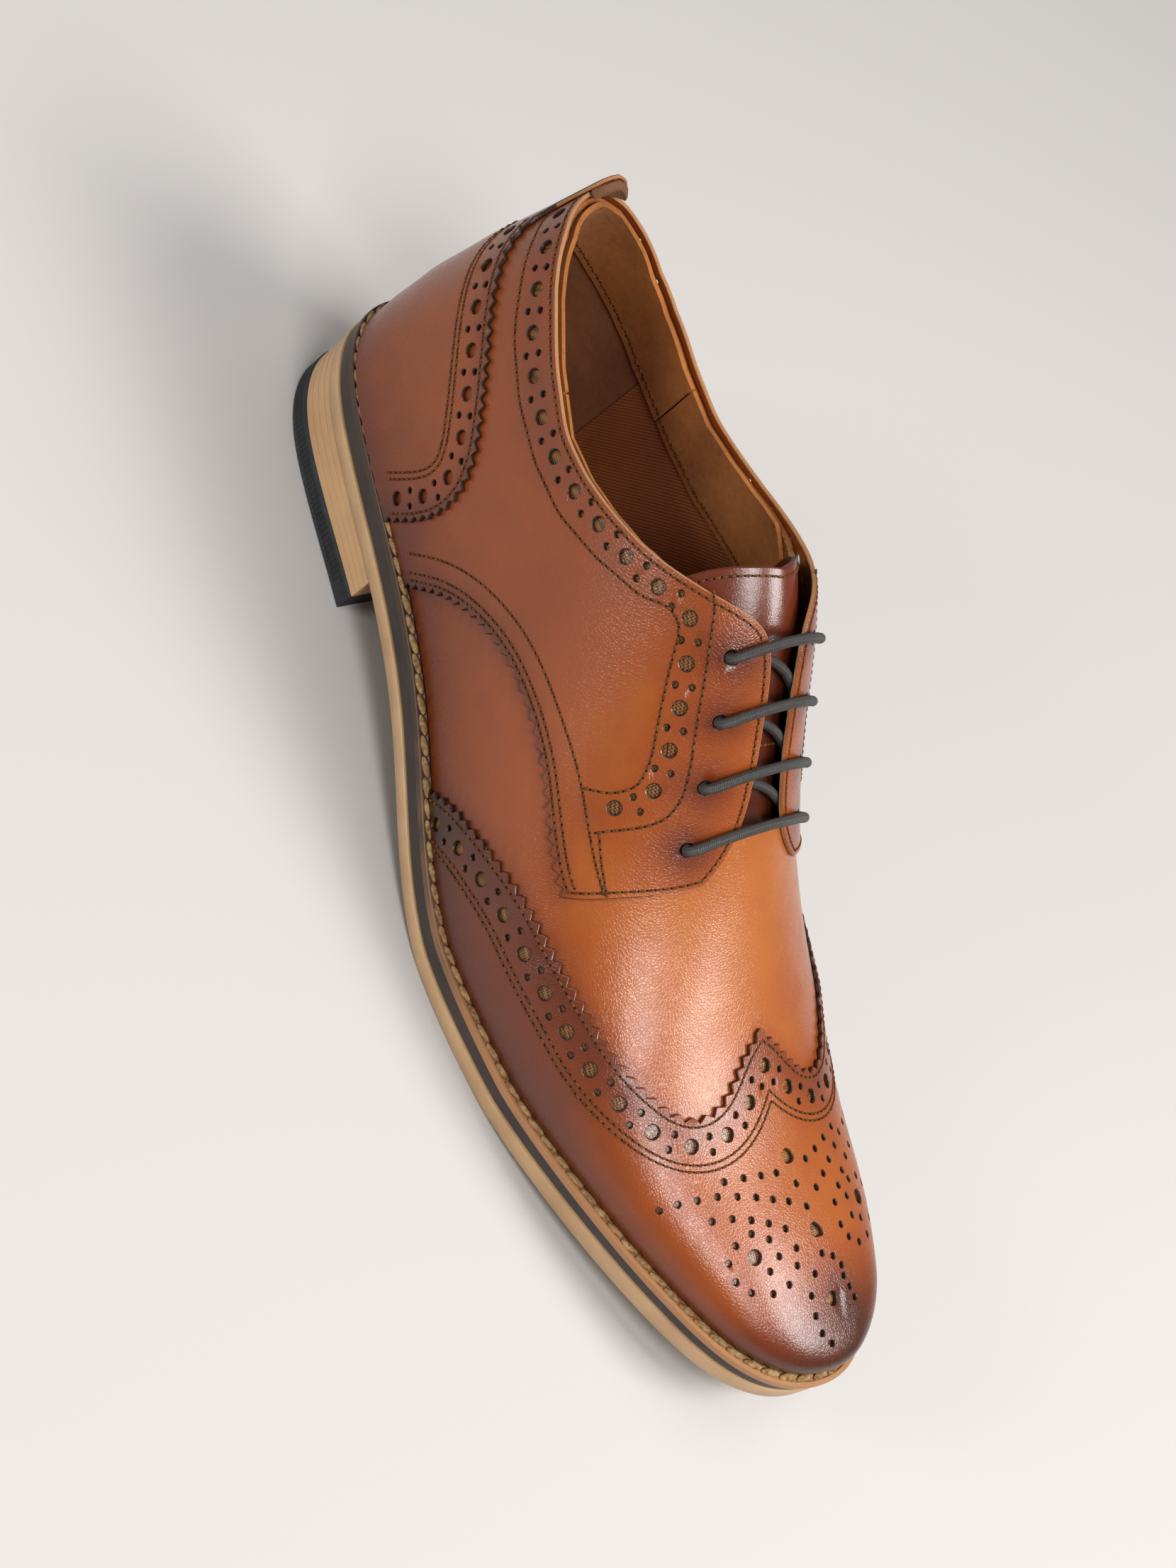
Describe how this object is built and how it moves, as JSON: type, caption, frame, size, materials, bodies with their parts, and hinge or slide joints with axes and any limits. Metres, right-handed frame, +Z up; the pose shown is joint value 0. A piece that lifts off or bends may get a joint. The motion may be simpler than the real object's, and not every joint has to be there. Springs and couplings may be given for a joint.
{
  "type": "brogue shoe",
  "caption": "Men's wingtip derby brogue for the right foot, in burnished tan leather with a punched wing cap, welted sole and low stacked heel",
  "frame": {"origin": "centre of the heel's flat bottom face", "axes": "+X towards the toe along the sole, +Y towards the inner side of the foot, +Z up"},
  "size_m": [0.301, 0.1065, 0.1208],
  "materials": {
    "outsole": "satin, cut edge",
    "midsole": "matt, dark",
    "welt": "satin, stitched",
    "heel_stack": "satin, cut edge",
    "top_lift": "matt",
    "insole": "satin",
    "upper": "burnished and polished",
    "quarter": "burnished and polished",
    "wing_cap": "burnished dark at the toe",
    "heel_counter": "burnished and polished",
    "tongue": "glossy",
    "lace": "waxed"
  },
  "bodies": {
    "root": {"outsole": "outsole", "midsole": "midsole", "welt": "welt", "heel_stack": "heel_stack", "top_lift": "top_lift", "insole": "insole", "upper": "upper", "quarter_outer": "quarter", "quarter_inner": "quarter", "wing_cap": "wing_cap", "heel_counter": "heel_counter", "tongue": "tongue", "lace": "lace"}
  },
  "joints": []
}
